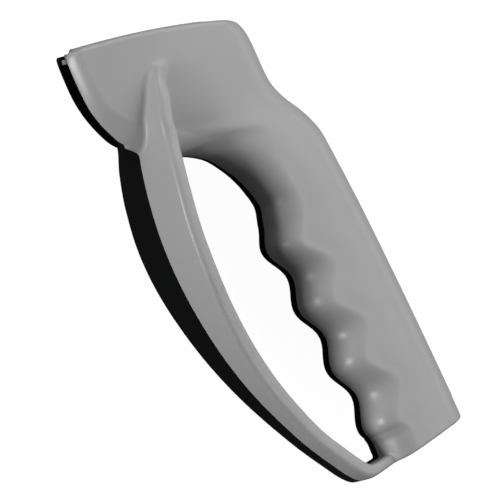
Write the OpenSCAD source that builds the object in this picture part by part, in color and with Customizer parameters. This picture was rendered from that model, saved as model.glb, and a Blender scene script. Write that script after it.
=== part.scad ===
// Hand-held pull-through knife sharpener with a full-length finger guard.
// Two moulded half shells meet on a flat parting plane. The head carries a slot along its curved
// edge, and two crossed carbide plates stand in the slot's upper end. The guard starts as a fin on
// the head's face, bows round the fingers and joins the grip again at the butt.
// X runs from the head to the butt, Y from the guard to the palm edge, Z through the thickness.
// The origin is at the middle of the bounding box, on the surface that the sharpener lies on.

/* [Overall] */
// Length from the head's top edge to the flat butt
body_length = 144; // [132:1:156]
// Depth from the lips of the blade slot to the palm edge
body_depth = 66.4; // [62:0.2:70]

/* [Head] */
// Half the thickness of the head
head_half = 7.6; // [7.2:0.1:8.2]
// Rounding radius of the head's top edge
top_edge_r = 1.8; // [1.2:0.1:2.4]
// Bow of the top edge between its corners
top_edge_bow = 0.9; // [0.4:0.1:1.3]
// Width over which a slot lip rounds up to the head's face
lip_round = 3.4; // [3:0.1:4]
// Height by which the head's face drops towards the lips
lip_drop = 2; // [1.6:0.1:2.3]

/* [Grip] */
// Half the thickness of the grip
grip_half = 9.8; // [9.2:0.1:10.6]
// Width over which the finger side rounds up to the grip's face
finger_round = 13; // [11:0.5:14]
// Width over which the palm edge rounds up to the face
palm_round = 7; // [5:0.5:8]
// Distance between neighbouring finger crests
finger_pitch = 18.7; // [17.5:0.1:20]
// Depth of a finger groove from crest to valley
groove_depth = 3.4; // [2.4:0.1:4]
// Crown of the flat faces
face_crown = 0.3; // [0.1:0.05:0.5]
// Height of the straight land beside the parting line
parting_land = 0.5; // [0.3:0.1:0.8]
// Lean of the flat butt towards the palm edge
butt_lean = 3.9; // [3:0.1:4.8]

/* [Finger guard] */
// Half the guard's width where it is widest
guard_half = 14.1; // [13.2:0.1:15.2]
// Half the guard's width beside the butt
guard_low_half = 5.2; // [4.6:0.1:6]
// Wall of the guard where it is thickest
guard_wall = 5; // [4.6:0.1:5.4]
// Height of the guard's outer crown near the head
guard_crown = 1.3; // [0.9:0.1:1.6]
// Rounding of the guard's outer ridge
ridge_r = 0.8; // [0.5:0.1:1.1]
// Rounding of the guard's inner edge
inner_edge_r = 1.3; // [0.9:0.1:1.5]

/* [Blade slot] */
// Width of the slot between the two lips
slot_gap = 4.4; // [4.3:0.1:5]
// Depth of the slot below the lips where they stand proudest
slot_depth = 6.9; // [6.5:0.1:7.2]
// Angle between the two carbide plates
blade_angle = 40; // [36:1:44]
// Length of a carbide plate
carbide_length = 11; // [10:0.5:11.5]
// Width of a carbide plate
carbide_width = 2.2; // [2:0.1:2.5]
// Thickness of a carbide plate
carbide_thickness = 1.3; // [1.1:0.1:1.5]
// Depth at which the plates' edges cross, below the lips where they stand proudest
crossing_depth = 3.3; // [3:0.1:3.5]
// Distance of the plates' outer ends from the corner where the slot meets the top edge
carbide_setback = 1.5; // [1.4:0.1:1.8]

/* [Corner notch] */
// Depth of the rear shell's notch in the top corner, where the blade enters
notch_depth = 1.4; // [1.2:0.1:1.7]
// Length of that notch along the top edge
notch_length = 7.2; // [6.4:0.1:7.4]
// Rounding of the rear shell's corner beside the notch
notch_r = 3; // [2.6:0.1:3.4]

/* [Blade holder] */
// Distance from the slot's floor to the holder
holder_setback = 1.1; // [1:0.1:1.6]
// Length of the holder into the head
holder_length = 10; // [9.5:0.5:12]
// Height of the holder along the slot
holder_height = 6.4; // [6:0.2:8]
// Half the thickness of the holder
holder_half = 4.6; // [4.2:0.1:4.9]
// Thickness of the steel clamp plate over the carbides
clamp_thickness = 0.6; // [0.5:0.1:0.8]
// Shaft diameter of the clamp plate's screws
clamp_screw_d = 1.6; // [1.4:0.1:1.8]
// Head diameter of the clamp plate's screws
clamp_screw_head_d = 2.6; // [2.2:0.1:2.8]
// Length of the clamp plate's screws
clamp_screw_length = 5.4; // [4.6:0.1:6]
// Wall between the holder's pocket and the head's top edge
head_wall = 0.6; // [0.6:0.1:0.8]

/* [Shells and screws] */
// Wall over the hollow inside the grip
shell_wall = 2.6; // [2.2:0.1:3]
// Thickness of the cross ribs in the hollow
rib_thickness = 1.6; // [1.2:0.1:2.2]
// Shaft diameter of the shell screws
shell_screw_d = 2.8; // [2.4:0.1:3.2]
// Head diameter of the shell screws
shell_screw_head_d = 5.2; // [4.6:0.1:5.6]
// Head thickness of the shell screws
shell_screw_head_h = 1.8; // [1.5:0.1:2.1]
// Depth of a screw head below the head's rear face
screw_recess = 0.9; // [0.7:0.1:1.2]
// Length that a shell screw bites into the front shell
screw_bite = 4.6; // [4.2:0.1:5]
// Outer diameter of a screw boss
boss_d = 7.8; // [7.4:0.1:8.4]

/* [Hidden] */

gray_plastic = [0.63, 0.63, 0.64];
black_plastic = [0.10, 0.11, 0.10];
dark_steel = [0.42, 0.43, 0.45];
carbide_gray = [0.62, 0.62, 0.60];
zinc_gray = [0.72, 0.73, 0.75];

// Clearances and one overrun for all cuts
fit_gap = 0.12;
thread_gap = 0.05;
head_gap = 0.3;
overrun = 2;
$fn = 48;

// Fineness of the moulded surfaces: spacing of the sections, and points on each rounding
section_step = body_length / 68;
guard_step = body_length / 52;
nose_steps = 8;
face_steps = 3;
palm_steps = 5;
base_steps = 4;
crown_steps = 3;
edge_steps = 3;

// Sections through head and grip, from the top edge to past the butt. Each row holds the section's
// finger end and palm end as shares of length and depth, the share of the way from the head's to
// the grip's thickness, the share of the top edge's rounding still missing, the share of the lip
// drop, the finger end's rounding width as a share of the grip's own, and the share of the bow.
body_section_shares = [
    [-0.500, -0.453, -0.412, 0.227, 0.00, 1.00, 1.00, 0.24, 1.00],
    [-0.497, -0.476, -0.404, 0.286, 0.00, 0.50, 1.00, 0.25, 1.00],
    [-0.491, -0.487, -0.393, 0.327, 0.00, 0.15, 1.00, 0.26, 1.00],
    [-0.481, -0.491, -0.379, 0.351, 0.00, 0.00, 1.00, 0.26, 1.00],
    [-0.451, -0.497, -0.356, 0.367, 0.00, 0.00, 1.00, 0.27, 0.85],
    [-0.409, -0.500, -0.329, 0.370, 0.00, 0.00, 1.00, 0.29, 0.60],
    [-0.374, -0.492, -0.302, 0.368, 0.00, 0.00, 1.00, 0.38, 0.35],
    [-0.340, -0.472, -0.277, 0.366, 0.00, 0.00, 1.00, 0.58, 0.15],
    [-0.304, -0.438, -0.255, 0.368, 0.02, 0.00, 1.00, 0.85, 0.00],
    [-0.283, -0.402, -0.241, 0.375, 0.05, 0.00, 0.90, 1.05, 0.00],
    [-0.266, -0.363, -0.230, 0.383, 0.09, 0.00, 0.70, 1.15, 0.00],
    [-0.253, -0.338, -0.220, 0.392, 0.13, 0.00, 0.50, 1.20, 0.00],
    [-0.239, -0.312, -0.210, 0.402, 0.18, 0.00, 0.30, 1.30, 0.00],
    [-0.226, -0.266, -0.198, 0.417, 0.25, 0.00, 0.10, 1.45, 0.00],
    [-0.217, -0.190, -0.183, 0.436, 0.34, 0.00, 0.00, 1.60, 0.00],
    [-0.203, -0.123, -0.165, 0.455, 0.45, 0.00, 0.00, 1.60, 0.00],
    [-0.180, -0.052, -0.144, 0.472, 0.58, 0.00, 0.00, 1.45, 0.00],
    [-0.149, 0.001, -0.121, 0.484, 0.70, 0.00, 0.00, 1.30, 0.00],
    [-0.119, 0.039, -0.095, 0.487, 0.82, 0.00, 0.00, 1.15, 0.00],
    [-0.088, 0.065, -0.065, 0.489, 0.92, 0.00, 0.00, 1.05, 0.00],
    [-0.051, 0.079, -0.033, 0.491, 1.00, 0.00, 0.00, 1.00, 0.00],
    [-0.016, 0.047, -0.002, 0.494, 1.00, 0.00, 0.00, 1.00, 0.00],
    [0.029, 0.038, 0.040, 0.497, 1.00, 0.00, 0.00, 1.00, 0.00],
    [0.152, 0.056, 0.159, 0.500, 1.00, 0.00, 0.00, 1.00, 0.00],
    [0.291, 0.073, 0.294, 0.500, 1.00, 0.00, 0.00, 1.00, 0.00],
    [0.423, 0.088, 0.424, 0.497, 1.00, 0.00, 0.00, 1.00, 0.00],
    [0.441, 0.073, 0.441, 0.495, 1.00, 0.00, 0.00, 1.00, 0.00],
    [0.466, 0.076, 0.466, 0.493, 1.00, 0.00, 0.00, 1.00, 0.00],
    [0.514, 0.072, 0.514, 0.489, 1.00, 0.00, 0.00, 1.00, 0.00]
];

// The finger grooves fade in and out over these shares of the length. A crest lies at crest_share.
groove_in_shares = [-0.051, 0.029];
groove_out_shares = [0.423, 0.461];
crest_share = 0.0294;

// Sections through the guard, from the fin's end on the head to past the butt's corner. Each row
// holds the outer face at the parting plane as shares of length and depth, then the width from the
// narrow to the widest value, the wall and the crown as shares of their largest values.
guard_section_shares = [
    [-0.420, -0.090, 0.08, 0.50, 1.00],
    [-0.412, -0.141, 0.27, 0.62, 1.00],
    [-0.400, -0.190, 0.51, 0.75, 1.00],
    [-0.377, -0.237, 0.69, 0.83, 1.00],
    [-0.350, -0.270, 0.75, 0.87, 1.00],
    [-0.312, -0.311, 0.79, 0.87, 1.00],
    [-0.273, -0.335, 0.83, 0.86, 1.00],
    [-0.234, -0.366, 0.93, 0.85, 0.95],
    [-0.171, -0.404, 1.00, 0.86, 0.80],
    [-0.092, -0.435, 0.99, 0.88, 0.58],
    [-0.010, -0.445, 0.91, 0.89, 0.46],
    [0.076, -0.435, 0.70, 0.96, 0.23],
    [0.170, -0.403, 0.46, 1.00, 0.12],
    [0.268, -0.341, 0.24, 0.96, 0.10],
    [0.375, -0.240, 0.05, 0.88, 0.10],
    [0.448, -0.147, 0.00, 0.87, 0.10],
    [0.482, -0.096, 0.00, 0.84, 0.10],
    [0.499, -0.053, 0.00, 0.80, 0.10],
    [0.505, 0.000, 0.00, 0.78, 0.10],
    [0.505, 0.065, 0.00, 0.78, 0.10],
    [0.505, 0.155, 0.00, 0.78, 0.10]
];

// Shell screw places as shares of length and depth
screw_place_shares = [[-0.335, 0.235], [-0.085, 0.330], [0.165, 0.330], [0.425, 0.330]];

// The hollow in the grip and its cross ribs as shares of length and depth
hollow_shares = [[-0.150, 0.250], [-0.085, 0.190], [0.000, 0.270], [0.470, 0.270], [0.470, 0.435],
                 [-0.060, 0.435], [-0.150, 0.330]];
rib_shares = [-0.020, 0.085, 0.240, 0.335];

// The blade slot's inner end as a share of the length
slot_end_share = -0.267;

// The corner where the top edge meets the lips, and the top edge's run and rise, as shares of length
// and depth
blade_corner_shares = [-0.5044, -0.485];
top_edge_shares = [0.0887, 0.677];

// The butt's guard corner, which the lean turns about, as a share of the depth
butt_corner_share = -0.043;

slot_half = slot_gap / 2;
slot_floor_y = slot_depth - body_depth / 2;

// The blade set stands square to the head's leaning top edge. Its frame starts at the corner where
// the top edge meets the lips: u runs along the top edge, v into the head.
top_edge_lean = atan2(top_edge_shares[0] * body_length, top_edge_shares[1] * body_depth);
blade_corner = [blade_corner_shares[0] * body_length, blade_corner_shares[1] * body_depth];
blade_from_edge = head_wall + clamp_thickness;
vertex_y = crossing_depth - body_depth / 2;
vertex_u = (vertex_y - blade_corner.y + (blade_from_edge + carbide_thickness) * sin(top_edge_lean))
    / cos(top_edge_lean);
blade_crossing = vertex_u + carbide_width / 2 / sin(blade_angle / 2);
carbide_centre = carbide_length / 2 - (blade_crossing - carbide_setback) / cos(blade_angle / 2);
holder_start = slot_depth + holder_setback;

hollow_height = grip_half - shell_wall;
boss_bore_end = screw_bite + head_gap;
screw_seat = head_half - screw_recess - shell_screw_head_h;

// Smooth interpolation through the rows of a table
function blend(p, q, r, s, t) =
    q + (r - p) * t / 2 + (p - 2.5 * q + 2 * r - s / 2) * t * t
    + (1.5 * (q - r) + (s - p) / 2) * t * t * t;
function row_at(rows, i, t) =
    blend(rows[max(i - 1, 0)], rows[i], rows[i + 1], rows[min(i + 2, len(rows) - 1)], t);
function span(rows, i) =
    norm([(rows[i + 1][0] - rows[i][0]) * body_length, (rows[i + 1][1] - rows[i][1]) * body_depth]);
function refine(rows, step) = [
    for (i = [0 : len(rows) - 2])
        let (n = max(1, ceil(span(rows, i) / step)))
        for (k = [0 : n - 1]) row_at(rows, i, k / n),
    rows[len(rows) - 1]
];
function fade(x, limits) =
    let (t = max(0, min(1, (x - limits[0]) / (limits[1] - limits[0])))) t * t * (3 - 2 * t);

// Wave of the finger grooves at a share of the length
function groove_wave(x) =
    -groove_depth / 2 * cos(360 * (x - crest_share) * body_length / finger_pitch)
    * fade(x, groove_in_shares) * (1 - fade(x, groove_out_shares));

// Half section through head or grip: up the finger side, over the face, down the palm side and
// back below the parting plane. A lip rises on a slant from the slot, the finger side stands square.
function body_section(row) =
    let (
        from = [row[0] * body_length, row[1] * body_depth + groove_wave(row[0])],
        to = [row[2] * body_length, row[3] * body_depth],
        wide = norm(to - from),
        along = (to - from) / wide,
        top = head_half + (grip_half - head_half) * row[4] - top_edge_r * row[5],
        drop = lip_drop * row[6],
        nose = max(lip_round, finger_round * row[7]),
        low = parting_land + (slot_half - parting_land) * row[6],
        flat = wide - nose - palm_round,
        bow = top_edge_bow * row[8],
        profile = concat(
            [[0, -overrun]],
            [for (k = [0 : nose_steps])
                let (a = 90 * k / nose_steps)
                [nose * (1 - cos(a)), low + (top - drop - low) * pow(sin(a), 1 + row[6])]],
            [for (k = [1 : face_steps])
                let (t = k / (face_steps + 1))
                [nose + flat * t, top - drop * (1 - t) * (1 - t) + face_crown * 4 * t * (1 - t)]],
            [for (k = [0 : palm_steps])
                let (a = 90 - 90 * k / palm_steps)
                [wide - palm_round * (1 - cos(a)), parting_land + (top - parting_land) * sin(a)]],
            [for (k = [base_steps : -1 : 1]) [wide * k / base_steps, -overrun]]
        )
    )
    [for (p = profile)
        let (t = p[0] / wide, out = bow * 4 * t * (1 - t))
        [from.x + along.x * p[0] - along.y * out, from.y + along.y * p[0] + along.x * out, p[1]]];

// Half section through the guard: up the crowned outer face, over the rim, down the inner face
function guard_section(row, ahead, behind) =
    let (
        place = [row[0] * body_length, row[1] * body_depth],
        step = [(ahead[0] - behind[0]) * body_length, (ahead[1] - behind[1]) * body_depth],
        inward = [-step.y, step.x] / norm(step),
        half = guard_low_half + (guard_half - guard_low_half) * max(0, min(1, row[2])),
        wall = guard_wall * row[3],
        crown = guard_crown * row[4],
        side = half - ridge_r,
        profile = concat(
            [[0, -2 * overrun]],
            [for (k = [0 : crown_steps]) let (t = k / crown_steps) [crown * t * t, side * t]],
            [for (k = [1 : edge_steps])
                let (a = 90 * k / edge_steps)
                [crown + ridge_r * (1 - cos(a)), side + ridge_r * sin(a)]],
            [for (k = [0 : edge_steps])
                let (a = 90 - 90 * k / edge_steps)
                [crown + wall - inner_edge_r * (1 - cos(a)), half - inner_edge_r * (1 - sin(a))]],
            [[crown + wall, -2 * overrun]]
        )
    )
    [for (p = profile) [place.x + inward.x * p[0], place.y + inward.y * p[0], p[1]]];

// Triangles that close one end of a skin. A section's first point and its last base points, read
// backwards, are its lower side, and each of them meets a run of points on the upper side.
function end_triangles(n, base) =
    let (
        uppers = n - 1 - base,
        lower = [for (k = [0 : uppers - 1]) (n - round(k * base / (uppers - 1))) % n]
    )
    [for (k = [0 : uppers - 2])
        for (f = concat(
            [[lower[k], k + 2, k + 1]],
            lower[k] == lower[k + 1] ? [] : [[lower[k], lower[k + 1], k + 2]]))
            f];

// Solid skinned over closed sections with equal numbers of points
module skin(sections, base) {
    n = len(sections[0]);
    far_end = (len(sections) - 1) * n;
    sides = [for (i = [0 : n : far_end - n]) for (k = [0 : n - 1]) [i + k, i + (k + 1) % n]];
    ends = end_triangles(n, base);
    polyhedron(
        points = [for (s = sections) for (p = s) p],
        faces = concat(
            ends,
            [for (e = sides) [e[0], e[1], e[1] + n]],
            [for (e = sides) [e[0], e[1] + n, e[0] + n]],
            [for (f = ends) [f[0] + far_end, f[2] + far_end, f[1] + far_end]]
        )
    );
}

module body_form() {
    skin([for (row = refine(body_section_shares, section_step)) body_section(row)], base_steps);
}

module guard_form() {
    rows = refine(guard_section_shares, guard_step);
    last = len(rows) - 1;
    skin([for (i = [0 : last])
        guard_section(rows[i], rows[min(i + 1, last)], rows[max(i - 1, 0)])], 1);
}

// Outer form of the front half, cut flat on the parting plane and at the butt
module half_form() {
    difference() {
        union() {
            body_form();
            guard_form();
        }
        translate([-body_length, -body_depth, -4 * overrun])
            cube([2 * body_length, 2 * body_depth, 4 * overrun]);
        translate([body_length / 2, butt_corner_share * body_depth, -overrun])
            rotate([0, 0, butt_lean])
                translate([0, -body_depth, 0])
                    cube([body_length, 2 * body_depth, 2 * guard_half]);
    }
}

// Children placed in the blade set's own frame: x along the top edge, y out of the head
module blade_frame() {
    translate([blade_corner.x, blade_corner.y, 0])
        rotate([0, 0, 90 - top_edge_lean])
            children();
}

// Notch and rounded corner of the rear shell at the slot's upper end
module corner_notch() {
    corner_y = -notch_depth - notch_r;
    blade_frame()
        translate([0, 0, -2 * head_half])
            linear_extrude(2 * head_half)
                difference() {
                    translate([-overrun, corner_y])
                        square([notch_length + overrun, notch_depth + notch_r + overrun]);
                    translate([notch_r, corner_y])
                        circle(notch_r);
                    translate([notch_r, corner_y - notch_r])
                        square([notch_length, 2 * notch_r]);
                }
}

module slot_cut(half) {
    translate([-body_length, -body_depth, -half])
        cube([body_length * (1 + slot_end_share), body_depth + slot_floor_y, 2 * half]);
}

// A carbide plate's blank at its place, grown by a clearance
module carbide_blank(side, from_edge, grow) {
    translate([blade_crossing, -from_edge - carbide_thickness / 2, 0])
        rotate([0, side * blade_angle / 2, 0])
            translate([carbide_centre, 0, 0])
                cube([carbide_length + 2 * grow, carbide_thickness + 2 * grow,
                      carbide_width + 2 * grow], center = true);
}

// Space in the shells for the holder, the clamp plate and the carbides
module holder_pocket() {
    blade_frame() {
        translate([holder_start - fit_gap, -head_wall - clamp_thickness - holder_height - fit_gap,
                   -holder_half - fit_gap])
            cube([holder_length + 2 * fit_gap, holder_height + clamp_thickness + fit_gap,
                  2 * holder_half + 2 * fit_gap]);
        for (i = [0, 1])
            carbide_blank(1 - 2 * i, blade_from_edge + i * carbide_thickness, fit_gap);
    }
}

function screw_place(i) =
    [screw_place_shares[i][0] * body_length, screw_place_shares[i][1] * body_depth];

module at_screws() {
    for (i = [0 : len(screw_place_shares) - 1])
        translate([screw_place(i).x, screw_place(i).y, 0])
            children();
}

// Hollow of one half, with the bosses and cross ribs left standing
module grip_hollow() {
    difference() {
        translate([0, 0, -overrun])
            linear_extrude(hollow_height + overrun)
                polygon([for (p = hollow_shares) [p[0] * body_length, p[1] * body_depth]]);
        at_screws()
            translate([0, 0, -2 * overrun])
                cylinder(d = boss_d, h = grip_half + 2 * overrun);
        for (x = rib_shares)
            translate([x * body_length - rib_thickness / 2, -body_depth, -2 * overrun])
                cube([rib_thickness, 2 * body_depth, grip_half + 2 * overrun]);
    }
}

module front_shell() {
    color(gray_plastic)
    translate([0, 0, guard_half])
    difference() {
        half_form();
        slot_cut(slot_half);
        holder_pocket();
        grip_hollow();
        at_screws()
            translate([0, 0, -overrun])
                cylinder(d = shell_screw_d + 2 * thread_gap, h = boss_bore_end + overrun);
    }
}

module rear_shell() {
    color(black_plastic)
    translate([0, 0, guard_half])
    difference() {
        mirror([0, 0, 1]) half_form();
        corner_notch();
        slot_cut(slot_half);
        holder_pocket();
        mirror([0, 0, 1]) grip_hollow();
        at_screws() {
            translate([0, 0, -grip_half - overrun])
                cylinder(d = shell_screw_d + 2 * fit_gap, h = grip_half + 2 * overrun);
            translate([0, 0, -grip_half - overrun])
                cylinder(d = shell_screw_head_d + 2 * head_gap, h = grip_half + overrun - screw_seat);
        }
    }
}

module carbide(side, layer) {
    color(carbide_gray)
    translate([0, 0, guard_half])
        blade_frame()
            carbide_blank(side, blade_from_edge + layer * carbide_thickness, 0);
}

module front_carbide() {
    carbide(1, 0);
}

module rear_carbide() {
    carbide(-1, 1);
}

// Places of the two clamp screws, and one screw standing on its tip along -y
clamp_screw_u = holder_start + holder_length - clamp_screw_head_d;
clamp_screw_z = holder_half / 2;

module at_clamp_screws() {
    for (s = [-1, 1])
        translate([clamp_screw_u, -head_wall, s * clamp_screw_z])
            rotate([90, 0, 0])
                children();
}

module countersink(grow) {
    cone_h = (clamp_screw_head_d - clamp_screw_d) / 2;
    rotate_extrude()
        polygon([[0, 0], [clamp_screw_head_d / 2 + grow, 0],
                 [clamp_screw_d / 2 + grow, cone_h], [clamp_screw_d / 2 + grow, clamp_screw_length + grow],
                 [0, clamp_screw_length + grow]]);
}

module blade_holder() {
    color(dark_steel)
    translate([0, 0, guard_half])
    difference() {
        blade_frame()
            translate([holder_start, -blade_from_edge - holder_height, -holder_half])
                cube([holder_length, holder_height, 2 * holder_half]);
        slot_cut(slot_half);
        blade_frame() {
            for (i = [0, 1])
                carbide_blank(1 - 2 * i, blade_from_edge + i * carbide_thickness, fit_gap);
            carbide_blank(-1, blade_from_edge, fit_gap);
            at_clamp_screws() countersink(thread_gap);
        }
    }
}

module clamp_plate() {
    color(zinc_gray)
    translate([0, 0, guard_half])
        blade_frame()
            difference() {
                translate([holder_start, -blade_from_edge, -holder_half])
                    cube([holder_length, clamp_thickness, 2 * holder_half]);
                at_clamp_screws() countersink(thread_gap);
            }
}

module clamp_screws() {
    color(zinc_gray)
    translate([0, 0, guard_half])
        blade_frame()
            at_clamp_screws() countersink(0);
}

module shell_screws() {
    color(zinc_gray)
    translate([0, 0, guard_half])
        at_screws()
            rotate_extrude()
                polygon([[0, -screw_seat - shell_screw_head_h],
                         [shell_screw_head_d / 2, -screw_seat - shell_screw_head_h],
                         [shell_screw_head_d / 2, -screw_seat],
                         [shell_screw_d / 2, -screw_seat],
                         [shell_screw_d / 2, screw_bite],
                         [0, screw_bite]]);
}

front_shell();
rear_shell();
front_carbide();
rear_carbide();
blade_holder();
clamp_plate();
clamp_screws();
shell_screws();
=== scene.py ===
"""Pull through knife sharpener: two moulded half shells round a small blade set, on a pale floor."""
import math
import bmesh
import bpy
import numpy as np
from mathutils import Matrix, Vector

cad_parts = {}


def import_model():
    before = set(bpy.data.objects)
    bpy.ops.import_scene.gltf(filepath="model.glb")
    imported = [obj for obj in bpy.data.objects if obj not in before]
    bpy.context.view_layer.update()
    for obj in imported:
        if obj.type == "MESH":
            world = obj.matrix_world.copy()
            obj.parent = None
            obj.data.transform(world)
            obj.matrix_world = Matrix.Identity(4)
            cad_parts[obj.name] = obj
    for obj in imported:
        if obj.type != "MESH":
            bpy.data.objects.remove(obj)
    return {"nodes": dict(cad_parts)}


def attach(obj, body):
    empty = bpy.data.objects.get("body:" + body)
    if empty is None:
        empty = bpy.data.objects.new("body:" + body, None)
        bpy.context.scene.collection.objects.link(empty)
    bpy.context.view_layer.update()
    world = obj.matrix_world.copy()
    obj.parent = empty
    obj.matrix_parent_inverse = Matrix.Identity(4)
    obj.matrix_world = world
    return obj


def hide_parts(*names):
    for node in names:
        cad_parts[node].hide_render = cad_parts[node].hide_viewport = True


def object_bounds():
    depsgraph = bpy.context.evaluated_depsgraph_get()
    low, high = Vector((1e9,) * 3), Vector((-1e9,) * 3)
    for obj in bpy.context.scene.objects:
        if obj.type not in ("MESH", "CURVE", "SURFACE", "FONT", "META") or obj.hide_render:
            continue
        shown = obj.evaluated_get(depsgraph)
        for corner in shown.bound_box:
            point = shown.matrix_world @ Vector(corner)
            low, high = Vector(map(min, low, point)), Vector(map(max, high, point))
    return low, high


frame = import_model()
cad_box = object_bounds()

MM = 0.001
PARTING_Z = 14.1            # height of the parting plane over the floor, mm

# Sizes in mm and angles in degrees, as in the CAD source. Places along and across the part, such as
# SLOT_END, BUTT_CORNER, BLADE_CORNER and SCREW_PLACES, are shares of LENGTH and DEPTH.
LENGTH, DEPTH = 144.0, 66.4
HEAD_HALF, TOP_EDGE_R, TOP_EDGE_BOW = 7.6, 1.8, 0.9
LIP_ROUND, LIP_DROP = 3.4, 2.0
GRIP_HALF, FINGER_ROUND = 9.8, 13.0
FINGER_PITCH, GROOVE_DEPTH = 18.7, 3.4
FACE_CROWN, PARTING_LAND, BUTT_LEAN = 0.3, 0.5, 3.9
GUARD_HALF, GUARD_LOW_HALF, GUARD_WALL, GUARD_CROWN, INNER_R = 14.1, 5.2, 5.0, 1.3, 1.3
SLOT_GAP, SLOT_DEPTH, SLOT_END = 4.4, 6.9, -0.267
BUTT_CORNER = -0.043
BLADE_CORNER, TOP_EDGE_RUN = (-0.5044, -0.485), (0.0887, 0.677)
CARBIDE_ANGLE, CARBIDE_LENGTH, CARBIDE_WIDTH, CARBIDE_THICKNESS = 40.0, 11.0, 2.2, 1.3
CROSSING_DEPTH, CARBIDE_SETBACK = 3.3, 1.5
NOTCH_DEPTH, NOTCH_LENGTH, NOTCH_R = 1.4, 7.2, 3.0
HOLDER_SETBACK, HOLDER_LENGTH, HOLDER_HEIGHT, HOLDER_HALF = 1.1, 10.0, 6.4, 4.6
CLAMP_THICKNESS, HEAD_WALL = 0.6, 0.6
SCREW_D, SCREW_HEAD_D, SCREW_HEAD_H, SCREW_RECESS, SCREW_BITE = 2.8, 5.2, 1.8, 0.9, 4.6
SCREW_PLACES = ((-0.335, 0.235), (-0.085, 0.330), (0.165, 0.330), (0.425, 0.330))
FIT_GAP, THREAD_GAP, HEAD_GAP = 0.12, 0.05, 0.3

# Rounds that the photo shows a little larger than the CAD source has them, or that only this form has, mm
PALM_ROUND, RIDGE_R = 8.0, 1.2
FRONT_CORNER_R, REAR_CORNER_R = 5.0, 6.4    # each half's head corner in plan, over the blades
HEAD_CORNER_EDGE, BUTT_EDGE = 0.6, 0.5
# The fillet between body and guard. It's larger at the fin and smaller at the butt by FILLET_CHANGE, which
# fades over these distances along the guard.
FILLET, FILLET_CHANGE, FIN_RUN, BUTT_RUN = 0.9, 0.5, (3, 18), (130, 155)
BOW_LIMITS = (-0.3, 1.3)    # the top edge's bow goes on past its ends, in shares of its run
CROWN_WIDTH = 25            # a face that is flat over less than this has less than FACE_CROWN
# How each half rounds over to the finger side: the round on the grip as a share of FINGER_ROUND, how much
# shorter it is at a crest than between grooves, how far its power is over 2, that of an ellipse, and
# between which shares of the length the grip's share sets in
FRONT_ROUND = (0.60, 0.2, 0.25, (-0.29, -0.16))
REAR_ROUND = (1.2, 0.0, 0.15, (-0.15, -0.03))
ARCH_IN, ARCH_OUT = (-0.31, -0.19), (-0.13, -0.05)      # where the index finger's arch begins and ends
SEAM_DRAW = 0.22            # how far each shell's edge is drawn in along the parting plane

# The grid that the shells' surface is found on, mm
GRID = 0.4
GRID_LOW, GRID_HIGH = np.array([-73.6, -34.6, -1.55]), np.array([73.6, 34.6, 15.4])
SKIRT = 1.0                 # how far a form goes on past the parting plane, where it's cut off
LEAST_SLOPE = 0.03          # keeps the distance to the body finite where its form levels out
NEAR_FACE = 1.5             # the guard's depth over which distance is measured straight inward
INSIDE_ENDS = -50.0         # stands for the distance past the guard's ends anywhere between them
BODY_STEPS, GUARD_STEPS = 16, 60            # steps from one row of a table to the next
COARSE = 12                 # steps of the guard's path that the first search for a near point skips
BLOCK = 4096                # points that are worked on at once
# How often a point is pulled on to the surface, how far at once, and how far out of its cell, in cells
PULLS, LONGEST_PULL, CELL_SLACK = 3, 0.3, 0.2
LEAST_GRAD = 1e-4           # keeps the pull finite where the slope levels out

# Sections through head and grip: finger end and palm end, the share of the way from the head's to the
# grip's thickness, the share of the lip's drop, and the finger end's round as a share of the grip's own.
# Like the guard's below, they are the CAD source's, but for a few rows near the butt and along the fin that
# run more smoothly here.
BODY_ROWS = np.array([
    (-0.500, -0.453, -0.412, 0.227, 0.00, 1.00, 0.24), (-0.497, -0.476, -0.404, 0.286, 0.00, 1.00, 0.25),
    (-0.491, -0.487, -0.393, 0.327, 0.00, 1.00, 0.26), (-0.481, -0.491, -0.379, 0.351, 0.00, 1.00, 0.26),
    (-0.451, -0.497, -0.356, 0.367, 0.00, 1.00, 0.27), (-0.409, -0.500, -0.329, 0.370, 0.00, 1.00, 0.29),
    (-0.374, -0.492, -0.302, 0.368, 0.00, 1.00, 0.38), (-0.340, -0.472, -0.277, 0.366, 0.00, 1.00, 0.58),
    (-0.304, -0.438, -0.255, 0.368, 0.02, 1.00, 0.85), (-0.283, -0.402, -0.241, 0.375, 0.05, 0.90, 1.05),
    (-0.266, -0.363, -0.230, 0.383, 0.09, 0.70, 1.15), (-0.253, -0.338, -0.220, 0.392, 0.13, 0.50, 1.20),
    (-0.239, -0.312, -0.210, 0.402, 0.18, 0.30, 1.30), (-0.226, -0.266, -0.198, 0.417, 0.25, 0.10, 1.45),
    (-0.217, -0.190, -0.183, 0.436, 0.34, 0.00, 1.60), (-0.203, -0.123, -0.165, 0.455, 0.45, 0.00, 1.60),
    (-0.180, -0.052, -0.144, 0.472, 0.58, 0.00, 1.45), (-0.149, 0.001, -0.121, 0.484, 0.70, 0.00, 1.30),
    (-0.119, 0.039, -0.095, 0.487, 0.82, 0.00, 1.15), (-0.088, 0.065, -0.065, 0.489, 0.92, 0.00, 1.05),
    (-0.051, 0.079, -0.033, 0.491, 1.00, 0.00, 1.00), (-0.016, 0.047, -0.002, 0.494, 1.00, 0.00, 1.00),
    (0.029, 0.038, 0.040, 0.497, 1.00, 0.00, 1.00), (0.152, 0.056, 0.159, 0.500, 1.00, 0.00, 1.00),
    (0.291, 0.073, 0.294, 0.500, 1.00, 0.00, 1.00), (0.423, 0.086, 0.424, 0.497, 1.00, 0.00, 1.00),
    (0.441, 0.080, 0.441, 0.495, 1.00, 0.00, 1.00), (0.466, 0.0745, 0.466, 0.493, 1.00, 0.00, 1.00),
    (0.514, 0.072, 0.514, 0.489, 1.00, 0.00, 1.00),
])
GROOVE_IN, GROOVE_OUT, CREST = (-0.051, 0.029), (0.423, 0.461), 0.0294
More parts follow.
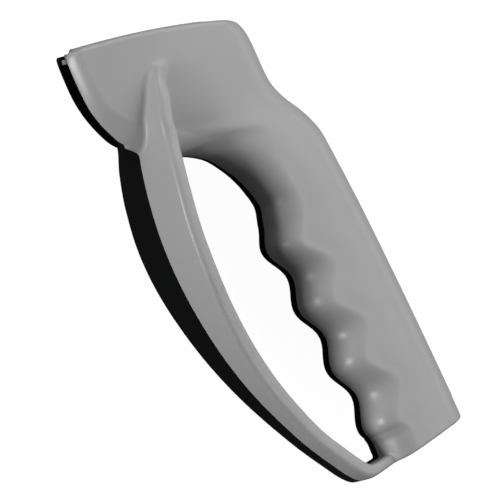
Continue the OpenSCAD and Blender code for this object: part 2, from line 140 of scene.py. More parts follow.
# The guard from the fin on the head to the butt: its outer face on the parting plane, the share of the way
# from the narrow to the wide half, and the shares of wall and crown
GUARD_ROWS = np.array([
    (-0.418, -0.090, 0.08, 0.46, 1.00), (-0.409, -0.141, 0.24, 0.56, 1.00),
    (-0.395, -0.187, 0.43, 0.70, 0.60), (-0.373, -0.232, 0.60, 0.81, 0.60),
    (-0.347, -0.266, 0.72, 0.87, 0.80), (-0.312, -0.311, 0.79, 0.87, 1.00),
    (-0.273, -0.335, 0.83, 0.86, 1.00), (-0.234, -0.366, 0.93, 0.85, 0.95),
    (-0.171, -0.404, 1.00, 0.86, 0.80), (-0.092, -0.435, 0.99, 0.88, 0.58),
    (-0.010, -0.445, 0.91, 0.89, 0.46), (0.076, -0.435, 0.70, 0.96, 0.23),
    (0.170, -0.403, 0.46, 1.00, 0.12), (0.268, -0.341, 0.24, 0.96, 0.10),
    (0.375, -0.240, 0.05, 0.88, 0.10), (0.448, -0.147, 0.00, 0.87, 0.10),
    (0.482, -0.096, 0.00, 0.84, 0.10), (0.499, -0.053, 0.00, 0.80, 0.10),
    (0.505, 0.000, 0.00, 0.78, 0.10), (0.505, 0.065, 0.00, 0.78, 0.10),
    (0.505, 0.155, 0.00, 0.78, 0.10),
])

# Forms that cut the shells, mm
CUT_X, CUT_Y, CUT_Z = 100, 60, 9            # how far the cut at the parting plane reaches
HALF_GAP = 0.02             # each shell ends this far from the parting plane
BORE_PAST_PLANE, BORE_PAST_FACE = 1, 2
NOTCH_PAST_LIPS, NOTCH_PAST_PLANE, NOTCH_ARC_POINTS = 3.0, 0.5, 19
# A face is in the parting plane if its normal's z is over FLAT_Z and it lies within PLANE_REACH of it, mm.
# A face beside it is a wall if its normal's z is under WALL_Z. Walls that face each other cancel out, and
# what is left of their normals has to be longer than LEAST_WAY.
FLAT_Z, PLANE_REACH, WALL_Z, LEAST_WAY = 0.99, 0.03, 0.9, 0.1

# Shell screws, mm. The pan head's profile holds shares of its radius and depths under its top.
PAN_PROFILE = ((0, 0), (0.45, 0.05), (0.75, 0.2), (0.93, 0.5), (1, 0.95))
HEAD_CHAMFER = 0.1
THREAD_PITCH, THREAD_DEPTH, THREAD_START, THREAD_SPARE = 1.0, 0.25, 1.0, 1.5
TIP_STEP, TIP_LENGTH, POINT_R = 0.3, 0.4, 0.001
RECESS_HALF, RECESS_HALF_WIDTH, RECESS_DEPTH, RECESS_PAST = 1.45, 0.28, 1.0, 1
BORE_SIDES, SCREW_SIDES = 64, 48
PLATE_BEVEL = 0.12
SHELL_ANGLE, PLATE_ANGLE, SCREW_ANGLE = 40, 30, 35      # edges sharper than these stay sharp, degrees


def spline(rows, steps):
    """The CAD source's smooth curve through the rows of a table."""
    out = []
    for i in range(len(rows) - 1):
        p, q, r, s = rows[max(i - 1, 0)], rows[i], rows[i + 1], rows[min(i + 2, len(rows) - 1)]
        for t in np.arange(steps) / steps:
            out.append(q + (r - p) * t / 2 + (p - 2.5 * q + 2 * r - s / 2) * t * t
                       + (1.5 * (q - r) + (s - p) / 2) * t ** 3)
    return np.array(out + [rows[-1]])


def fade(x, limits):
    """A smooth step from 0 to 1 between two limits."""
    t = np.clip((x - limits[0]) / (limits[1] - limits[0]), 0, 1)
    return t * t * (3 - 2 * t)


def both(a, b, r):
    """Distance to what two forms share, with the edge between them rounded by r."""
    return np.minimum(np.maximum(a, b), -r) + np.hypot(np.maximum(a + r, 0), np.maximum(b + r, 0))


def either(a, b, r):
    """Distance to two forms together, with the corner between them filled to radius r."""
    return np.maximum(np.minimum(a, b), r) - np.hypot(np.maximum(r - a, 0), np.maximum(r - b, 0))


def blocks(count):
    """Slices that cover so many points, a block at a time, to keep the tables of distances small."""
    return [slice(a, a + BLOCK) for a in range(0, count, BLOCK)]


def from_line(p, line):
    """Distance from points in plan to a line of close points."""
    out = np.zeros(len(p))
    for part in blocks(len(p)):
        q = p[part]
        near = ((q[:, None, :] - line[None, :, :]) ** 2).sum(2).argmin(1)
        least = np.full(len(q), np.inf)
        for first in (np.maximum(near - 1, 0), np.minimum(near, len(line) - 2)):
            run = line[first + 1] - line[first]
            f = np.clip(((q - line[first]) * run).sum(1) / (run ** 2).sum(1), 0, 1)
            least = np.minimum(least, np.linalg.norm(q - line[first] - f[:, None] * run, axis=1))
        out[part] = least
    return out


def body_maps(x, y, finger):
    """For points in plan: the shape of the body's section there, and the distance out past the top edge."""
    grip_share, steepness, softness, start_of_grip = finger
    rows = spline(BODY_ROWS, BODY_STEPS)
    start = rows[:, 0:2] * (LENGTH, DEPTH)
    crest = (np.cos(2 * np.pi * (rows[:, 0] - CREST) * LENGTH / FINGER_PITCH)
             * fade(rows[:, 0], GROOVE_IN) * (1 - fade(rows[:, 0], GROOVE_OUT)))
    start[:, 1] -= GROOVE_DEPTH / 2 * crest
    end = rows[:, 2:4] * (LENGTH, DEPTH)
    way = end - start
    p = np.column_stack([x.ravel(), y.ravel()])

    # the two sections that each point lies between, and its share of the way from one to the other
    pick = np.zeros(len(p), int)
    share = np.zeros(len(p))
    for part in blocks(len(p)):
        q = p[part]
        turn = (way[:, 0] * (q[:, 1:2] - start[:, 1]) - way[:, 1] * (q[:, 0:1] - start[:, 0]))
        change = (turn[:, :-1] > 0) != (turn[:, 1:] > 0)
        nearer_end = np.where(np.abs(turn[:, 0]) < np.abs(turn[:, -1]), 0, len(rows) - 2)
        k = np.where(change.any(1), change.argmax(1), nearer_end)
        c0, c1 = turn[np.arange(len(q)), k], turn[np.arange(len(q)), k + 1]
        pick[part] = k
        share[part] = np.clip(c0 / np.where(c0 == c1, 1, c0 - c1), 0, 1)

    def at(v):
        f = share if v.ndim == 1 else share[:, None]
        return v[pick] * (1 - f) + v[pick + 1] * f

    s, w, extra, crest, place = at(start), at(way), at(rows[:, 4:]), at(crest), at(rows[:, 0])
    thick, lip, nose_share = extra.T
    wide = np.linalg.norm(w, axis=1)
    u = ((p - s) * w).sum(1) / wide
    # over the index finger the sections run along the edge, so there the round follows the distance to it
    arch = fade(place, ARCH_IN) * (1 - fade(place, ARCH_OUT))
    reach = u + arch * (np.where(u > 0, from_line(p, start), u) - u)
    grip_part = 1 - (1 - grip_share) * fade(place, start_of_grip)
    nose = np.maximum(LIP_ROUND, FINGER_ROUND * nose_share * (1 - steepness * crest) * grip_part)
    flat = np.maximum(wide - nose - PALM_ROUND, 1)
    t = np.clip((u - nose) / flat, 0, 1)
    crown = FACE_CROWN * np.minimum(flat / CROWN_WIDTH, 1) * (4 * t * (1 - t)) ** 2
    top = HEAD_HALF + (GRIP_HALF - HEAD_HALF) * thick - LIP_DROP * lip * (1 - t) ** 2 + crown
    soft = 2 + softness * (1 - lip * (1 - t))
    edge = np.maximum(0, 1 - reach / nose) ** soft + np.maximum(0, 1 - (wide - u) / PALM_ROUND) ** soft
    low = PARTING_LAND + (SLOT_GAP / 2 - PARTING_LAND) * lip * (1 - t)
    power = 2 / (1 + lip * (1 - t))

    # the bowed top edge
    run = np.linalg.norm(way[0])
    along = way[0] / run
    off = p - start[0]
    f = np.clip(off @ along / run, *BOW_LIMITS)
    ahead = -(off @ np.array([along[1], -along[0]])) - TOP_EDGE_BOW * 4 * f * (1 - f)
    return [m.reshape(x.shape) for m in (edge, top, low, power, ahead)]


def guard_maps(x, y):
    """For points in plan: distance inward from the guard's outer face and past its ends, and its sizes."""
    rows = spline(GUARD_ROWS, GUARD_STEPS)
    path = rows[:, :2] * (LENGTH, DEPTH)
    last = len(path) - 1
    p = np.column_stack([x.ravel(), y.ravel()])
    near = np.zeros(len(p), int)
    for part in blocks(len(p)):
        gap = ((p[part][:, None, :] - path[None, ::COARSE, :]) ** 2).sum(2)
        near[part] = gap.argmin(1) * COARSE
    window = np.clip(near[:, None] + np.arange(-COARSE, COARSE + 1), 0, last)
    gap = ((p[:, None, :] - path[window]) ** 2).sum(2)
    near = window[np.arange(len(p)), gap.argmin(1)]
    step = np.gradient(path, axis=0)
    step /= np.linalg.norm(step, axis=1)[:, None]
    off = p - path[near]
    along = (off * step[near]).sum(1)
    inward = off[:, 1] * step[near, 0] - off[:, 0] * step[near, 1]
    # close to the face the step between two points of the path would show as ripples
    straight = (near == 0) | (near == last) | (np.abs(inward) < NEAR_FACE)
    n = np.where(straight, inward, np.sign(inward) * np.linalg.norm(off, axis=1))
    beyond = np.where(near == 0, -along, np.where(near == last, along, INSIDE_ENDS))
    half = GUARD_LOW_HALF + (GUARD_HALF - GUARD_LOW_HALF) * np.clip(rows[:, 2], 0, 1)
    run = np.concatenate([[0], np.cumsum(np.linalg.norm(np.diff(path, axis=0), axis=1))])
    rise = np.gradient(half, run)
    sizes = (half, GUARD_WALL * rows[:, 3], GUARD_CROWN * rows[:, 4], rise, run)
    return [m.reshape(x.shape) for m in (n, beyond, *[v[near] for v in sizes])]


def half_form(finger, corner_r):
    """Closed outer surface of one half, from just below the parting plane up, as points and quads."""
    axes = [np.arange(a, b, GRID) for a, b in zip(GRID_LOW, GRID_HIGH)]
    x, y = np.meshgrid(axes[0], axes[1], indexing="ij")
    z = axes[2][None, None, :]
    edge, top, low, power, ahead = [m[:, :, None] for m in body_maps(x, y, finger)]
    height = np.maximum(z - low, 0) / (top - low)
    f = edge + height ** power - 1
    grad = np.sqrt(sum(g * g for g in np.gradient(f, GRID)))
    body = both(f / np.maximum(grad, LEAST_SLOPE), ahead, TOP_EDGE_R)
    corner = both(-DEPTH / 2 - y[:, :, None], ahead, corner_r)
    body = both(body, corner, HEAD_CORNER_EDGE)

    n, beyond, half, wall, crown, rise, run = [m[:, :, None] for m in guard_maps(x, y)]
    side = half - RIDGE_R
    bow = 2 * crown * z / side ** 2
    outer = (crown * (z / side) ** 2 - n) / np.sqrt(1 + bow ** 2)
    rim = (z - half) / np.sqrt(1 + rise ** 2)
    guard = both(both(outer, rim, RIDGE_R), n - crown - wall, INNER_R)
    guard = np.maximum(guard, beyond)

    fillet = FILLET + FILLET_CHANGE * (1 - fade(run, FIN_RUN)) - FILLET_CHANGE * fade(run, BUTT_RUN)
    form = either(body, guard, fillet)
    # a flat butt with a softened edge
    lean = math.radians(BUTT_LEAN)
    butt = (x - LENGTH / 2) * math.cos(lean) + (y - BUTT_CORNER * DEPTH) * math.sin(lean)
    form = both(form, butt[:, :, None], BUTT_EDGE)
    return surface(np.maximum(form, -SKIRT - z), GRID_LOW)


def surface(d, lo):
    """Points and quads of the surface where d is zero, one point in each cell that it crosses."""
    inside = d < 0
    corners = [(i, j, k) for i in (0, 1) for j in (0, 1) for k in (0, 1)]
    shape = np.array(d.shape) - 1
    nx, ny, nz = shape
    count = sum(inside[i:i + nx, j:j + ny, k:k + nz].astype(np.int8) for i, j, k in corners)
    cell = np.argwhere((count > 0) & (count < len(corners)))
    number = -np.ones(tuple(shape), int)
    number[tuple(cell.T)] = np.arange(len(cell))
    unit = np.eye(3, dtype=int)

    # the middle of the places where the cell's edges cross the surface
    total = np.zeros((len(cell), 3))
    hits = np.zeros(len(cell))
    for axis in range(3):
        for corner in corners:
            if corner[axis]:
                continue
            a = cell + corner
            va, vb = d[tuple(a.T)], d[tuple((a + unit[axis]).T)]
            cross = (va < 0) != (vb < 0)
            t = va / np.where(cross, va - vb, 1)
            total += np.where(cross[:, None], a + t[:, None] * unit[axis], 0)
            hits += cross
    points = total / hits[:, None]

    # pull each point on to the surface along the slope
    slope = np.stack(np.gradient(d), axis=-1)
    for _ in range(PULLS):
        c = np.clip(np.floor(points).astype(int), 0, shape - 1)
        f = points - c
        value = np.zeros(len(points))
        grad = np.zeros((len(points), 3))
        for corner in corners:
            w = np.prod(np.where(corner, f, 1 - f), axis=1)
            at = tuple((c + corner).T)
            value += w * d[at]
            grad += w[:, None] * slope[at]
        move = -value[:, None] * grad / np.maximum((grad ** 2).sum(1), LEAST_GRAD)[:, None]
        points += np.clip(move, -LONGEST_PULL, LONGEST_PULL)
        points = np.clip(points, cell - CELL_SLACK, cell + (1 + CELL_SLACK))

    # a quad round each edge of the grid that crosses the surface
    quads = []
    for axis in range(3):
        b, c = [k for k in range(3) if k != axis]
        near = [slice(None)] * 3
        far = [slice(None)] * 3
        near[axis], far[axis] = slice(None, -1), slice(1, None)
        edge = np.argwhere(inside[tuple(near)] != inside[tuple(far)])
        edge = edge[(edge[:, b] > 0) & (edge[:, c] > 0) & (edge[:, b] < shape[b]) & (edge[:, c] < shape[c])]
        eb, ec = unit[b], unit[c]
        q = np.stack([number[tuple((edge - m).T)] for m in (eb + ec, ec, 0 * eb, eb)], axis=1)
        turned = inside[tuple(edge.T)] == (axis == 1)
        q[turned] = q[turned][:, ::-1]
        quads.append(q)

    # nothing may lie outside the CAD box in plan
    low, high = np.array([list(v) for v in cad_box]) / MM
    points = points * GRID + lo
    points[:, :2] = np.clip(points[:, :2], low[:2], high[:2])
    return points, np.concatenate(quads)


def new_mesh(name, points, faces):
    """A mesh object in metres from points in mm."""
    mesh = bpy.data.meshes.new(name)
    mesh.from_pydata([tuple(p) for p in np.asarray(points) * MM], [], [tuple(f) for f in faces])
    mesh.validate()
    obj = bpy.data.objects.new(name, mesh)
    bpy.context.scene.collection.objects.link(obj)
    return obj


def box(low, high):
    """Points and faces of a box, mm."""
    p = [(x, y, z) for x in (low[0], high[0]) for y in (low[1], high[1]) for z in (low[2], high[2])]
    return p, [(0, 1, 3, 2), (4, 6, 7, 5), (0, 4, 5, 1), (2, 3, 7, 6), (0, 2, 6, 4), (1, 5, 7, 3)]


def prism(outline, z0, z1):
    """Points and faces of an upright prism over a plan outline, mm."""
    n = len(outline)
    p = [(x, y, z0) for x, y in outline] + [(x, y, z1) for x, y in outline]
    faces = [tuple(range(n))[::-1], tuple(range(n, 2 * n))]
    faces += [(k, (k + 1) % n, n + (k + 1) % n, n + k) for k in range(n)]
    return p, faces


def ring(centre, radius, count=BORE_SIDES):
    """Points of a circle in plan."""
    a = 2 * np.pi * np.arange(count) / count
    return np.column_stack([centre[0] + radius * np.cos(a), centre[1] + radius * np.sin(a)])


def lifted(form):
    """Moves a form from the parting plane's height to its height over the floor."""
    p, f = form
    return np.asarray(p) + (0, 0, PARTING_Z), f


def outward_normals(obj, width=None):
    """Turns a closed form's faces outward and, with a width, bevels all its edges by so many mm."""
    bm = bmesh.new()
    bm.from_mesh(obj.data)
    bmesh.ops.recalc_face_normals(bm, faces=bm.faces)
    if width:
        bmesh.ops.bevel(bm, geom=bm.edges[:], offset=width * MM, segments=2, profile=0.5, affect="EDGES")
    bm.to_mesh(obj.data)
    bm.free()


def cut(obj, tools):
    """Takes closed tool forms out of an object and keeps the result as its mesh."""
    made = []
    for k, form in enumerate(tools):
        tool = new_mesh("tool", *form)
        outward_normals(tool)
        m = obj.modifiers.new("cut%d" % k, "BOOLEAN")
        m.operation, m.solver, m.object = "DIFFERENCE", "MANIFOLD", tool
        made.append(tool)
    graph = bpy.context.evaluated_depsgraph_get()
    mesh = bpy.data.meshes.new_from_object(obj.evaluated_get(graph))
    obj.modifiers.clear()
    old = obj.data
    obj.data = mesh
    mesh.name = obj.name
    bpy.data.meshes.remove(old)
    for tool in made:
        bpy.data.objects.remove(tool)


def smooth(obj, angle):
    """Smooth shading, with edges sharper than the angle kept."""
    for poly in obj.data.polygons:
        poly.use_smooth = True
    obj.data.set_sharp_from_angle(angle=math.radians(angle))


def paint(obj, look):
    """Makes a material the only one of an object."""
    obj.data.materials.clear()
    obj.data.materials.append(look)


def dress(obj, look, node):
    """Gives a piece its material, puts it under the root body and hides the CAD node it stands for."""
    paint(obj, look)
    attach(obj, "root")
    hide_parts(node)


# Scales of the plastics' grain, clouds and patches of gloss, and the depth of all relief in metres
GRAIN, CLOUDS, PATCHES, RELIEF_DEPTH = 5200.0, 90.0, 5200.0 / 12, 0.00002
PLASTIC_RELIEF, METAL_RELIEF, METAL_SPREAD = 0.35, 0.3, 0.1
NOISE_RANGE = (0.3, 0.7)    # where nearly all values of a noise lie


def material(name):
    """A new material with its node tree and its Principled shader."""
    m = bpy.data.materials.new(name)
    m.use_nodes = True
    return m, m.node_tree, m.node_tree.nodes["Principled BSDF"]


def set_sockets(node, values):
    """Puts constants on a node's named inputs."""
    for socket, value in values.items():
        node.inputs[socket].default_value = value


def new_node(tree, kind, sockets=None, **settings):
    """A node with its settings, and constants on the named sockets."""
    made = tree.nodes.new(kind)
    for key, value in settings.items():
        setattr(made, key, value)
    set_sockets(made, sockets or {})
    return made


def noise(tree, place, scale, detail, roughness):
    """Noise over an object's own space, as a factor."""
    made = new_node(tree, "ShaderNodeTexNoise", {"Scale": scale, "Detail": detail, "Roughness": roughness})
    tree.links.new(place, made.inputs["Vector"])
    return made.outputs["Fac"]


def uneven_gloss(tree, shader, factor, middle, spread, limits=(0.0, 1.0)):
    """Roughness that a factor drives round its middle value."""
    gloss = new_node(tree, "ShaderNodeMapRange", {
        "From Min": limits[0], "From Max": limits[1], "To Min": middle - spread, "To Max": middle + spread})
    tree.links.new(factor, gloss.inputs["Value"])
    tree.links.new(gloss.outputs["Result"], shader.inputs["Roughness"])


def relief(tree, shader, factor, strength):
    """Fine relief that a factor drives."""
    bump = new_node(tree, "ShaderNodeBump", {"Strength": strength, "Distance": RELIEF_DEPTH})
    tree.links.new(factor, bump.inputs["Height"])
    tree.links.new(bump.outputs["Normal"], shader.inputs["Normal"])


def moulded(name, color, dark, rough, rough_spread, specular):
    """Moulded plastic: a fine grain, faint cloudiness in colour and a slightly uneven gloss."""
    m, tree, shader = material(name)
    place = new_node(tree, "ShaderNodeTexCoord").outputs["Object"]
    mix = new_node(tree, "ShaderNodeMix", {"A": (*dark, 1), "B": (*color, 1)}, data_type="RGBA")
    tree.links.new(noise(tree, place, CLOUDS, 3.0, 0.6), mix.inputs["Factor"])
    tree.links.new(mix.outputs["Result"], shader.inputs["Base Color"])
    uneven_gloss(tree, shader, noise(tree, place, PATCHES, 3.0, 0.6), rough, rough_spread, NOISE_RANGE)
    relief(tree, shader, noise(tree, place, GRAIN, 2.0, 0.5), PLASTIC_RELIEF)
    set_sockets(shader, {"Specular IOR Level": specular})
    return m


def ground_metal(name, color, rough, scale, stretch):
    """Ground or cast metal with fine parallel lines."""
    m, tree, shader = material(name)
    turn = new_node(tree, "ShaderNodeMapping", {"Scale": stretch})
    tree.links.new(new_node(tree, "ShaderNodeTexCoord").outputs["Object"], turn.inputs["Vector"])
    lines = noise(tree, turn.outputs["Vector"], scale, 3.0, 0.6)
    uneven_gloss(tree, shader, lines, rough, METAL_SPREAD)
    relief(tree, shader, lines, METAL_RELIEF)
    set_sockets(shader, {"Base Color": (*color, 1), "Metallic": 1.0})
    return m


gray = moulded("gray_moulding", (0.362, 0.362, 0.368), (0.352, 0.352, 0.357), 0.38, 0.04, 0.45)
black = moulded("black_moulding", (0.0064, 0.0067, 0.0066), (0.0050, 0.0053, 0.0052), 0.35, 0.05, 0.015)
carbide = ground_metal("ground_carbide", (0.24, 0.24, 0.235), 0.42, 1500.0, (1, 1, 6))
cast = ground_metal("cast_iron", (0.16, 0.165, 0.17), 0.5, 2500.0, (1, 1, 1))
plated = ground_metal("zinc_plate", (0.55, 0.56, 0.57), 0.3, 1800.0, (1, 1, 4))

# The blade set's frame and the places in it, as in the CAD source
edge_lean = math.atan2(TOP_EDGE_RUN[0] * LENGTH, TOP_EDGE_RUN[1] * DEPTH)
blade_corner = np.array([BLADE_CORNER[0] * LENGTH, BLADE_CORNER[1] * DEPTH, 0])
along_edge = np.array([math.sin(edge_lean), math.cos(edge_lean), 0])
out_of_head = np.array([-math.cos(edge_lean), math.sin(edge_lean), 0])
half_angle = math.radians(CARBIDE_ANGLE / 2)
blade_from_edge = HEAD_WALL + CLAMP_THICKNESS
vertex_u = (CROSSING_DEPTH - DEPTH / 2 - blade_corner[1]
            + (blade_from_edge + CARBIDE_THICKNESS) * math.sin(edge_lean)) / math.cos(edge_lean)
blade_crossing = vertex_u + CARBIDE_WIDTH / 2 / math.sin(half_angle)
carbide_centre = CARBIDE_LENGTH / 2 - (blade_crossing - CARBIDE_SETBACK) / math.cos(half_angle)
holder_start = SLOT_DEPTH + HOLDER_SETBACK


def in_blade_frame(form):
    """Moves a form from the blade set's frame, u along the top edge and v out of it, to the part's."""
    p, f = form
    p = np.asarray(p, float)
    return blade_corner + p[:, 0:1] * along_edge + p[:, 1:2] * out_of_head + p[:, 2:3] * (0, 0, 1), f


def carbide_box(side, layer, grow):
    """A carbide plate at its place in the part, grown by a clearance."""
    h = np.array([CARBIDE_LENGTH, CARBIDE_THICKNESS, CARBIDE_WIDTH]) / 2 + grow
    p, f = box(-h, h)
    p = np.asarray(p) + (carbide_centre, 0, 0)
    c, s = math.cos(half_angle), side * math.sin(half_angle)
    p = np.column_stack([c * p[:, 0] + s * p[:, 2], p[:, 1], -s * p[:, 0] + c * p[:, 2]])
    middle = -blade_from_edge - (layer + 0.5) * CARBIDE_THICKNESS
    return in_blade_frame((p + (blade_crossing, middle, 0), f))


slot_tool = box((-LENGTH, -DEPTH, -SLOT_GAP / 2), (SLOT_END * LENGTH, SLOT_DEPTH - DEPTH / 2, SLOT_GAP / 2))
below = box((-CUT_X, -CUT_Y, -CUT_Z), (CUT_X, CUT_Y, HALF_GAP))
above = box((-CUT_X, -CUT_Y, -HALF_GAP), (CUT_X, CUT_Y, CUT_Z))
pocket_floor = -HEAD_WALL - CLAMP_THICKNESS - HOLDER_HEIGHT - FIT_GAP
pocket = in_blade_frame(box(
    (holder_start - FIT_GAP, pocket_floor, -HOLDER_HALF - FIT_GAP),
    (holder_start + HOLDER_LENGTH + FIT_GAP, -HEAD_WALL, HOLDER_HALF + FIT_GAP)))
blade_room = [pocket, carbide_box(1, 0, FIT_GAP), carbide_box(-1, 1, FIT_GAP)]

# the rear shell's notch: along its floor, then round the corner and out past the lips
arc = np.radians(np.linspace(90, 180, NOTCH_ARC_POINTS))
notch_line = [(NOTCH_LENGTH, NOTCH_PAST_LIPS), (NOTCH_LENGTH, -NOTCH_DEPTH)]
notch_line += [(NOTCH_R + NOTCH_R * math.cos(a), -NOTCH_DEPTH - NOTCH_R + NOTCH_R * math.sin(a))
               for a in arc]
notch_line += [(-NOTCH_PAST_LIPS, -NOTCH_DEPTH - NOTCH_R), (-NOTCH_PAST_LIPS, NOTCH_PAST_LIPS)]
notch = in_blade_frame(prism(notch_line, -2 * HEAD_HALF, NOTCH_PAST_PLANE))

screw_seat = HEAD_HALF - SCREW_RECESS - SCREW_HEAD_H
screw_xy = [(a * LENGTH, b * DEPTH) for a, b in SCREW_PLACES]


def bores(radius, z0, z1):
    """The same bore at every shell screw."""
    return [prism(ring(c, radius), z0, z1) for c in screw_xy]


front_bores = bores(SCREW_D / 2 + THREAD_GAP, -BORE_PAST_PLANE, SCREW_BITE + HEAD_GAP)
rear_bores = bores(SCREW_D / 2 + FIT_GAP, -GRIP_HALF - BORE_PAST_FACE, BORE_PAST_PLANE)
rear_bores += bores(SCREW_HEAD_D / 2 + HEAD_GAP, -GRIP_HALF - BORE_PAST_FACE, -screw_seat)


def soften_parting(obj):
    """Draws the shell's outer corner along the parting plane in a little, which shows as a fine seam."""
    bm = bmesh.new()
    bm.from_mesh(obj.data)
    bmesh.ops.triangulate(bm, faces=[f for f in bm.faces if len(f.verts) > 4])
    flat = [f for f in bm.faces if abs(f.normal.z) > FLAT_Z
            and abs(f.calc_center_median().z / MM - PARTING_Z) < PLANE_REACH]
    in_plane = set(flat)
    moves = {}
    for f in flat:
        for e in f.edges:
            other = [g for g in e.link_faces if g not in in_plane]
            if len(other) != 1 or abs(other[0].normal.z) > WALL_Z:
                continue
            for v in e.verts:
                moves.setdefault(v, Vector((0, 0, 0)))
                moves[v] += Vector((other[0].normal.x, other[0].normal.y, 0)).normalized()
    for v, way in moves.items():
        if way.length > LEAST_WAY:
            v.co -= way.normalized() * SEAM_DRAW * MM
    bm.to_mesh(obj.data)
    bm.free()


def shell(name, finger, corner_r, side, tools):
    """A half shell on its side of the parting plane, 1 for the front and -1 for the rear."""
    points, quads = half_form(finger, corner_r)
    obj = new_mesh(name, points * (1, 1, side) + (0, 0, PARTING_Z), quads[:, ::side])
    cut(obj, [lifted(t) for t in tools])
    soften_parting(obj)
    smooth(obj, SHELL_ANGLE)
    return obj


front_tools = [below, slot_tool] + blade_room + front_bores
rear_tools = [above, slot_tool, notch] + blade_room + rear_bores
front = shell("front_shell_form", FRONT_ROUND, FRONT_CORNER_R, 1, front_tools)
rear = shell("rear_shell_form", REAR_ROUND, REAR_CORNER_R, -1, rear_tools)
dress(front, gray, "front_shell")
dress(rear, black, "rear_shell")


def carbide_plate(name, form, node):
    """A ground plate with fine bevels on its edges."""
    obj = new_mesh(name, *form)
    outward_normals(obj, PLATE_BEVEL)
    smooth(obj, PLATE_ANGLE)
    dress(obj, carbide, node)


def pan_screw(name, centre):
    """A pan head screw seen from the rear: domed head with a cross recess, over a threaded shank."""
    head = -screw_seat - SCREW_HEAD_H
    head_r, shank_r = SCREW_HEAD_D / 2, SCREW_D / 2
    profile = [(share * head_r, head + depth) for share, depth in PAN_PROFILE]
    profile += [(head_r, -screw_seat - HEAD_CHAMFER), (head_r - HEAD_CHAMFER, -screw_seat)]
    profile += [(shank_r, -screw_seat)]
    for k in range(int((SCREW_BITE + screw_seat - THREAD_SPARE) / THREAD_PITCH)):
        z = -screw_seat + THREAD_START + k * THREAD_PITCH
        profile += [(shank_r - THREAD_DEPTH, z), (shank_r, z + THREAD_PITCH / 2)]
    profile += [(shank_r - TIP_STEP, SCREW_BITE - TIP_LENGTH), (0, SCREW_BITE)]
    n = SCREW_SIDES
    rings = [ring(centre, max(radius, POINT_R), n) for radius, _ in profile]
    points = [(x, y, z + PARTING_Z) for line, (_, z) in zip(rings, profile) for x, y in line]
    last = (len(profile) - 1) * n
    faces = [(i + k, i + (k + 1) % n, i + n + (k + 1) % n, i + n + k)
             for i in range(0, last, n) for k in range(n)]
    faces += [tuple(range(n))[::-1], tuple(range(last, last + n))]
    obj = new_mesh(name, points, faces)
    recess = []
    for a, b in ((RECESS_HALF, RECESS_HALF_WIDTH), (RECESS_HALF_WIDTH, RECESS_HALF)):
        p, f = box((-a, -b, head - RECESS_PAST), (a, b, head + RECESS_DEPTH))
        recess.append(lifted((np.asarray(p) + (*centre, 0), f)))
    cut(obj, recess)
    smooth(obj, SCREW_ANGLE)
    dress(obj, plated, "shell_screws")


carbide_plate("front_carbide_plate", lifted(carbide_box(1, 0, 0)), "front_carbide")
carbide_plate("rear_carbide_plate", lifted(carbide_box(-1, 1, 0)), "rear_carbide")
for k, centre in enumerate(screw_xy):
    pan_screw("shell_screw_%d" % (k + 1), centre)

for name, look in (("blade_holder", cast), ("clamp_plate", plated), ("clamp_screws", plated)):
    paint(frame["nodes"][name], look)

# Floor, world, lamps and camera
WHITE = (1, 1, 1, 1)
FLOOR_HALF = 9000           # half the floor's side, mm
FLOOR_GLOW = 0.97           # the light that the camera sees it give


def sees_background(tree, *rays):
    """A socket that is 1 for the rays that show the white background, and 0 for those that carry light."""
    path = new_node(tree, "ShaderNodeLightPath")
    seen = path.outputs["Is Camera Ray"]
    for ray in rays:
        either_ray = new_node(tree, "ShaderNodeMath", operation="MAXIMUM")
        tree.links.new(seen, either_ray.inputs[0])
        tree.links.new(path.outputs[ray], either_ray.inputs[1])
        seen = either_ray.outputs[0]
    return seen


def show_by_ray(tree, seen, lit, shown, out):
    """Gives the shown shader to the rays that see the background, and the lit one to all others."""
    mix = new_node(tree, "ShaderNodeMixShader")
    tree.links.new(seen, mix.inputs[0])
    tree.links.new(lit.outputs[0], mix.inputs[1])
    tree.links.new(shown.outputs[0], mix.inputs[2])
    tree.links.new(mix.outputs[0], out.inputs["Surface"])


def backdrop():
    """A floor that the camera sees as white, with the part's soft shadow on it."""
    m, tree, shader = material("pale_floor")
    set_sockets(shader, {"Base Color": (0.2, 0.2, 0.2, 1), "Roughness": 0.9})
    glow = new_node(tree, "ShaderNodeEmission", {"Color": WHITE, "Strength": FLOOR_GLOW})
    pale = new_node(tree, "ShaderNodeBsdfDiffuse", {"Color": (0.16, 0.16, 0.16, 1)})
    shown = new_node(tree, "ShaderNodeAddShader")
    tree.links.new(glow.outputs[0], shown.inputs[0])
    tree.links.new(pale.outputs[0], shown.inputs[1])
    seen = sees_background(tree, "Is Transmission Ray")
    show_by_ray(tree, seen, shader, shown, tree.nodes["Material Output"])
    h = FLOOR_HALF
    floor = new_mesh("floor", [(-h, -h, 0), (h, -h, 0), (h, h, 0), (-h, h, 0)], [(0, 1, 2, 3)])
    floor.data.materials.append(m)


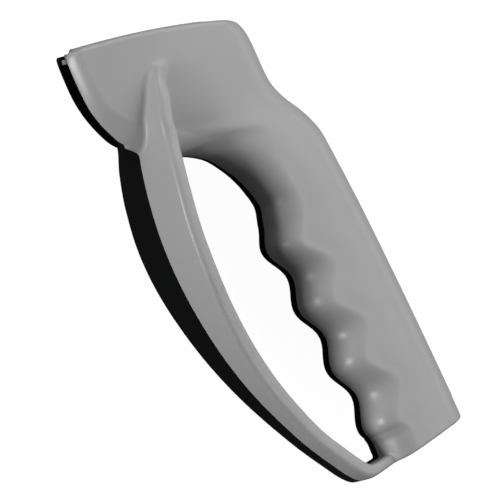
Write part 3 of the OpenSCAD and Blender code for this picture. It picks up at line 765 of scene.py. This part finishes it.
def world():
    """A world that the camera and reflections see as white, and that gives no other light."""
    w = bpy.data.worlds.new("studio")
    bpy.context.scene.world = w
    w.use_nodes = True
    tree = w.node_tree
    tree.nodes.clear()
    dark = new_node(tree, "ShaderNodeBackground", {"Color": WHITE, "Strength": 0.0})
    white = new_node(tree, "ShaderNodeBackground", {"Color": WHITE, "Strength": 1.0})
    seen = sees_background(tree, "Is Glossy Ray", "Is Transmission Ray")
    show_by_ray(tree, seen, dark, white, new_node(tree, "ShaderNodeOutputWorld"))


def lamp(name, azimuth, elevation, size, power):
    """Square softbox one metre from the part's middle, turned towards it."""
    light = bpy.data.lights.new(name, "AREA")
    light.shape, light.size, light.energy = "SQUARE", size, power
    obj = bpy.data.objects.new(name, light)
    bpy.context.scene.collection.objects.link(obj)
    a, e = math.radians(azimuth), math.radians(elevation)
    way = Vector((math.cos(a) * math.cos(e), math.sin(a) * math.cos(e), math.sin(e)))
    obj.location = way + Vector((0, 0, PARTING_Z * MM))
    obj.rotation_mode = "QUATERNION"
    obj.rotation_quaternion = way.to_track_quat("Z", "Y")
    obj.visible_camera = False


backdrop()
world()
# azimuth and elevation in degrees, side in metres, power in watts
lamp("key_box", 75, 42, 0.7, 4.7)
lamp("second_box", 130, 40, 0.7, 5.3)
lamp("head_box", 205, 8, 0.28, 1.6)
lamp("guard_box", 262, 9, 0.28, 6.9)

# The camera as it was fitted to the photo: its axes, the point it looks at in mm, and the scale there
CAMERA_RIGHT, CAMERA_UP = (0.43019, 0.71099, 0.55628), (-0.89298, 0.42555, 0.14666)
LOOK_AT = (1.195, -3.6175, 14.003)
PICTURE_PIXELS, MM_PER_PIXEL = 500, 0.2723
LENS_MM, SENSOR_MM = 1600.0, 36.0
NEAR_CLIP, FAR_CLIP = 0.1, 200.0            # metres
right = Vector(CAMERA_RIGHT).normalized()
back = right.cross(Vector(CAMERA_UP).normalized())
up = back.cross(right)
camera = bpy.data.cameras.new("camera")
camera.lens = LENS_MM
camera.sensor_width = SENSOR_MM
camera.clip_start, camera.clip_end = NEAR_CLIP, FAR_CLIP
eye = bpy.data.objects.new("camera", camera)
bpy.context.scene.collection.objects.link(eye)
distance = PICTURE_PIXELS * MM_PER_PIXEL * MM * LENS_MM / SENSOR_MM
stand = Matrix.Translation(Vector(LOOK_AT) * MM + back * distance)
eye.matrix_world = stand @ Matrix((right, up, back)).transposed().to_4x4()
bpy.context.scene.camera = eye
bpy.context.scene.view_settings.view_transform = "Standard"
